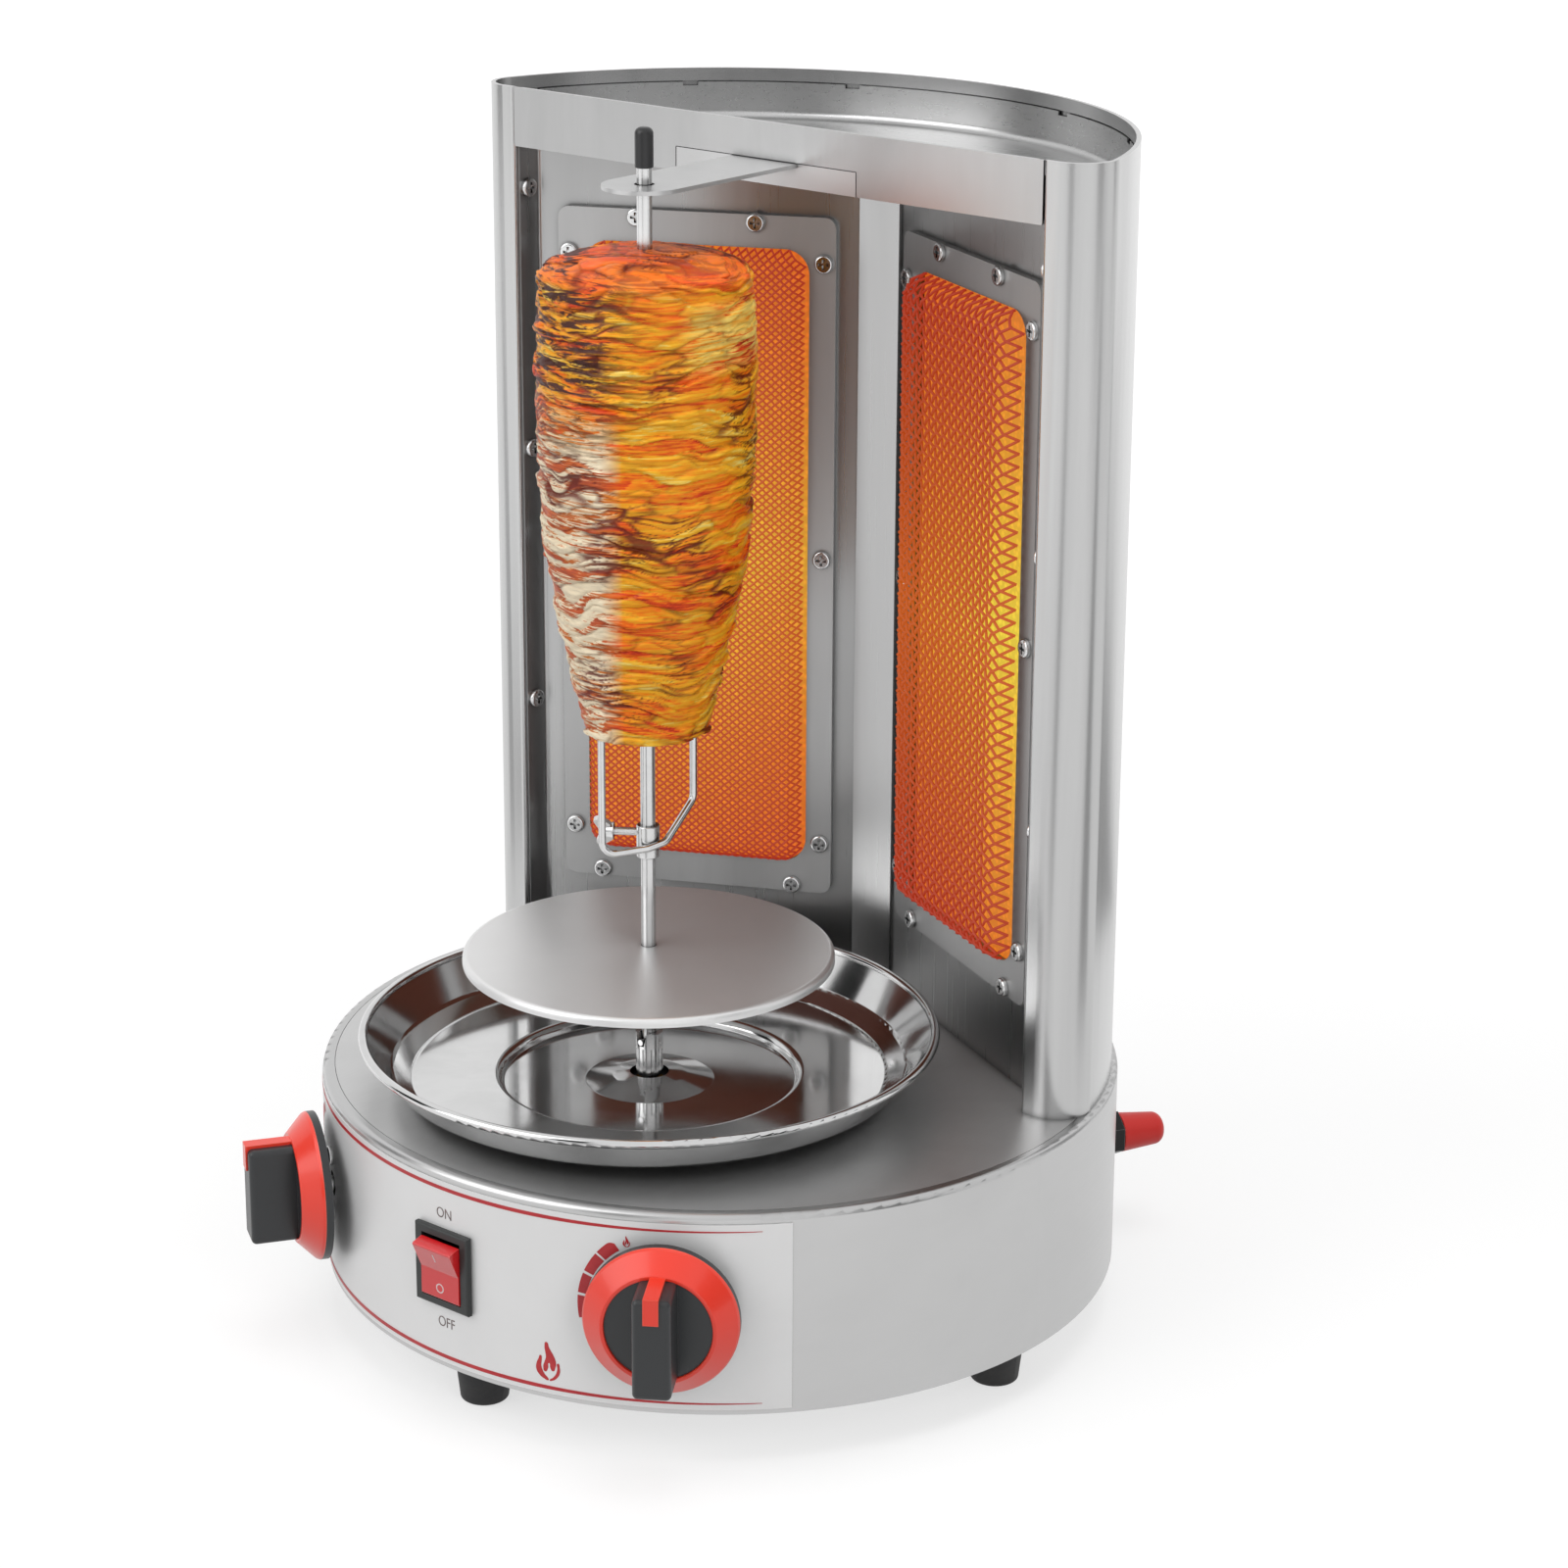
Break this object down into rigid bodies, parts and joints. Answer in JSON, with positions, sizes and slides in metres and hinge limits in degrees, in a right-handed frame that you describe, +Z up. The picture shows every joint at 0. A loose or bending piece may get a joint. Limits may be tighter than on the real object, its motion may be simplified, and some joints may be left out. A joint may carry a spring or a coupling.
{
  "type": "vertical rotisserie grill",
  "caption": "Table-top gas grill with a motor-turned vertical spit, drip tray, curved rear housing with infrared burners in a V, and control knobs.",
  "frame": {"origin": "axis of the round base, in the plane that its feet stand on", "axes": "+Z up, -Y to the front where the switch and knobs are, +X to the right of someone facing the front"},
  "size_m": [0.31, 0.3253, 0.4645],
  "materials": {
    "base_shell": "satin stainless steel",
    "base_top_plate": "dark satin steel",
    "bottom_cover": "plain steel",
    "rubber_feet": "matt black",
    "foot_fasteners": "zinc plated",
    "control_label": "printed silver sheet",
    "valve_screws": "polished",
    "switch_housing": "matt black",
    "power_rocker": "gloss red",
    "gas_manifold": "plain pipe",
    "gas_nipple": "turned brass",
    "inlet_nut": "black",
    "inlet_cap": "soft red rubber",
    "injectors": "turned brass",
    "mixing_tubes": "plain steel tube",
    "cord_gland": "matt black",
    "wiring": "insulated lead",
    "motor_bracket": "plain steel",
    "motor_gearbox": "plated steel case",
    "motor_case": "dark case",
    "motor_screws": "plated",
    "drive_bush": "sintered bronze",
    "output_shaft": "ground steel",
    "drive_socket": "turned steel",
    "spit_rod": "polished stainless steel",
    "tip_cap": "black cap",
    "fat_disc": "polished stainless steel",
    "disc_collar": "turned steel",
    "meat_stack": "roasted slices",
    "meat_fork": "stainless wire",
    "thumb_screw": "plated",
    "drip_tray": "polished pressed steel",
    "rear_casing": "polished stainless steel",
    "front_band": "polished stainless steel",
    "recess_ceiling": "plain steel",
    "spit_bracket": "satin stainless steel",
    "warming_tray": "satin stainless steel",
    "centre_strip": "satin stainless steel",
    "housing_fasteners": "polished",
    "burner_screws": "polished",
    "feed_pipes": "bent tube",
    "burner_tiles": "glowing ceramic",
    "burner_gaskets": "fibre strip",
    "burner_boxes": "aluminised steel",
    "valve_body": "turned brass",
    "valve_plunger": "turned brass",
    "valve_stem": "turned steel",
    "knob_ring": "gloss red",
    "knob_grip": "black moulding",
    "inner_panel": "satin stainless steel",
    "burner_frame": "satin stainless steel",
    "burner_mesh": "heat-stained woven wire"
  },
  "bodies": {
    "housing": {"base_shell": "base_shell", "base_top_plate": "base_top_plate", "bottom_cover": "bottom_cover", "rubber_feet": "rubber_feet", "foot_fasteners": "foot_fasteners", "control_label": "control_label", "valve_screws": "valve_screws", "switch_housing": "switch_housing", "gas_manifold": "gas_manifold", "gas_nipple": "gas_nipple", "inlet_nut": "inlet_nut", "injectors": "injectors", "mixing_tubes": "mixing_tubes", "cord_gland": "cord_gland", "wiring": "wiring", "motor_bracket": "motor_bracket", "motor_gearbox": "motor_gearbox", "motor_case": "motor_case", "motor_screws": "motor_screws", "drive_bush": "drive_bush", "rear_casing": "rear_casing", "front_band": "front_band", "recess_ceiling": "recess_ceiling", "spit_bracket": "spit_bracket", "warming_tray": "warming_tray", "centre_strip": "centre_strip", "housing_fasteners": "housing_fasteners", "burner_screws": "burner_screws", "feed_pipes": "feed_pipes", "burner_tiles": "burner_tiles", "burner_gaskets": "burner_gaskets", "burner_boxes": "burner_boxes", "right_valve_body": "valve_body", "left_valve_body": "valve_body", "right_inner_panel": "inner_panel", "left_inner_panel": "inner_panel", "right_burner_frame": "burner_frame", "left_burner_frame": "burner_frame", "right_burner_mesh": "burner_mesh", "left_burner_mesh": "burner_mesh"},
    "drive": {"output_shaft": "output_shaft", "drive_socket": "drive_socket"},
    "spit": {"spit_rod": "spit_rod", "tip_cap": "tip_cap", "fat_disc": "fat_disc", "disc_collar": "disc_collar", "meat_stack": "meat_stack"},
    "fork": {"meat_fork": "meat_fork"},
    "thumb_screw": {"thumb_screw": "thumb_screw"},
    "drip_tray": {"drip_tray": "drip_tray"},
    "right_plunger": {"right_valve_plunger": "valve_plunger"},
    "right_knob": {"right_knob_grip": "knob_grip", "right_knob_ring": "knob_ring", "right_valve_stem": "valve_stem"},
    "left_plunger": {"left_valve_plunger": "valve_plunger"},
    "left_knob": {"left_knob_grip": "knob_grip", "left_knob_ring": "knob_ring", "left_valve_stem": "valve_stem"},
    "rocker": {"power_rocker": "power_rocker"},
    "inlet_cap": {"inlet_cap": "inlet_cap"}
  },
  "joints": [
    {"name": "drive_spin", "type": "hinge", "parent": "housing", "child": "drive", "pos_m": [0, -0.042, 0.11], "axis": [0, 0, 1], "continuous": true},
    {"name": "spit_lift", "type": "slide", "parent": "drive", "child": "spit", "axis": [0, 0, 1], "range_m": [0, 0.018]},
    {"name": "fork_slide", "type": "slide", "parent": "spit", "child": "fork", "axis": [0, 0, 1], "range_m": [-0.025, 0]},
    {"name": "thumb_screw_turn", "type": "hinge", "parent": "fork", "child": "thumb_screw", "pos_m": [-0.01081, -0.04921, 0.1985], "axis": [-0.832, -0.5548, 0], "range_deg": [0, 360]},
    {"name": "tray_lift", "type": "slide", "parent": "housing", "child": "drip_tray", "axis": [0, 0, 1], "range_m": [0, 0.03]},
    {"name": "right_knob_push", "type": "slide", "parent": "housing", "child": "right_plunger", "axis": [-0.5446, 0.8387, 0], "range_m": [0, 0.0025], "stiffness_N_per_m": 800, "springref_m": -0.0025},
    {"name": "right_knob_turn", "type": "hinge", "parent": "right_plunger", "child": "right_knob", "pos_m": [0.08464, -0.13033, 0.06], "axis": [0.5446, -0.8387, 0], "range_deg": [0, 110]},
    {"name": "left_knob_push", "type": "slide", "parent": "housing", "child": "left_plunger", "axis": [0.5446, 0.8387, 0], "range_m": [0, 0.0025], "stiffness_N_per_m": 800, "springref_m": -0.0025},
    {"name": "left_knob_turn", "type": "hinge", "parent": "left_plunger", "child": "left_knob", "pos_m": [-0.08464, -0.13033, 0.06], "axis": [-0.5446, -0.8387, 0], "range_deg": [0, 110]},
    {"name": "power_rocker_tilt", "type": "hinge", "parent": "housing", "child": "rocker", "pos_m": [0, -0.1549, 0.06], "axis": [-1, 0, 0], "range_deg": [0, 24]},
    {"name": "inlet_cap_pull", "type": "slide", "parent": "housing", "child": "inlet_cap", "axis": [0.5299, 0.848, 0], "range_m": [0, 0.03]}
  ]
}
